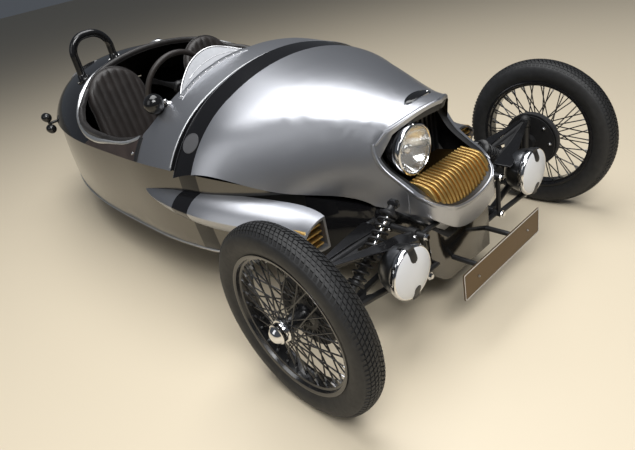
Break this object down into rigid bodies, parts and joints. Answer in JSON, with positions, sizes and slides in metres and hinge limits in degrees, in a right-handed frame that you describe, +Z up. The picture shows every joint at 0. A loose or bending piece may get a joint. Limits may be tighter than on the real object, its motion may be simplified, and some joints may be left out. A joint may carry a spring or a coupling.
{
  "type": "three wheeled car",
  "caption": "Open two-seat three-wheeled car with wire front wheels, finned nose mouth, side pods, roll hoop and working steering and wheels.",
  "frame": {"origin": "middle of the car's length and width, on the ground under the tyres", "axes": "+X towards the car's left side, +Y towards its tail, +Z up; the car faces -Y"},
  "size_m": [1.76, 3.333, 1.1089],
  "materials": {
    "body_metal": "dark silver metallic lacquer",
    "gloss_black": "gloss black lacquer",
    "satin_black": "satin black powder coat",
    "brass_fins": "satin brass",
    "bright_metal": "polished chrome",
    "tyre_rubber": "black block-tread rubber",
    "leather_dark": "dark brown fluted leather",
    "lamp_cover": "white domed cover",
    "plate_bronze": "bronze-brown lacquered sheet",
    "carpet_black": "short black pile",
    "pack_grey": "plain cast casing",
    "tail_glass": "dark red lens in a black ring"
  },
  "bodies": {
    "body": {"battery": "pack_grey", "bonnet": "body_metal", "carpet": "carpet_black", "damper_left": "satin_black", "damper_right": "satin_black", "dashboard": "gloss_black", "deflector": "bright_metal", "front_arms_left": "satin_black", "front_arms_right": "satin_black", "front_frame": "satin_black", "headlamp": "bright_metal", "hull": "body_metal", "lamp_covers": "lamp_cover", "mirror_pod": "gloss_black", "motor": "pack_grey", "nose_fins": "brass_fins", "number_plate": "plate_bronze", "plate_bracket": "satin_black", "pod_fins": "brass_fins", "pod_left": "body_metal", "pod_right": "body_metal", "roll_hoop": "gloss_black", "scuttle": "body_metal", "seat_back": "leather_dark", "seat_cushion": "leather_dark", "side_lamp_left": "bright_metal", "side_lamp_right": "bright_metal", "slats": "satin_black", "steering_column": "satin_black", "swing_arm": "satin_black", "tail_deck": "gloss_black", "tail_lamps": "tail_glass"},
    "steer_left": {"knuckle_left": "satin_black"},
    "steer_right": {"knuckle_right": "satin_black"},
    "wheel_left": {"front_wheel_left": "satin_black", "front_tyre_left": "tyre_rubber", "hub_cap_left": "bright_metal"},
    "wheel_right": {"front_wheel_right": "satin_black", "front_tyre_right": "tyre_rubber", "hub_cap_right": "bright_metal"},
    "wheel_rear": {"rear_wheel": "satin_black", "rear_tyre": "tyre_rubber"},
    "steering_wheel": {"steering_wheel": "leather_dark"}
  },
  "joints": [
    {"name": "steer_left", "type": "hinge", "parent": "body", "child": "steer_left", "pos_m": [0.655, -1.3235, 0.343], "axis": [0, 0, 1], "range_deg": [-25, 25]},
    {"name": "steer_right", "type": "hinge", "parent": "body", "child": "steer_right", "pos_m": [-0.655, -1.3235, 0.343], "axis": [0, 0, 1], "range_deg": [-25, 25]},
    {"name": "wheel_left_spin", "type": "hinge", "parent": "steer_left", "child": "wheel_left", "pos_m": [0.784, -1.3235, 0.343], "axis": [1, 0, 0], "continuous": true},
    {"name": "wheel_right_spin", "type": "hinge", "parent": "steer_right", "child": "wheel_right", "pos_m": [-0.784, -1.3235, 0.343], "axis": [1, 0, 0], "continuous": true},
    {"name": "wheel_rear_spin", "type": "hinge", "parent": "body", "child": "wheel_rear", "pos_m": [0, 1.0765, 0.31], "axis": [1, 0, 0], "continuous": true},
    {"name": "steering_wheel_turn", "type": "hinge", "parent": "body", "child": "steering_wheel", "pos_m": [-0.3, -0.1335, 0.85], "axis": [0, 0.9659, 0.2588], "range_deg": [-305, 305]}
  ],
  "couplings": [
    {"joint": "steer_right", "follows": "steer_left", "ratio": 1},
    {"joint": "steering_wheel_turn", "follows": "steer_left", "ratio": 12}
  ]
}
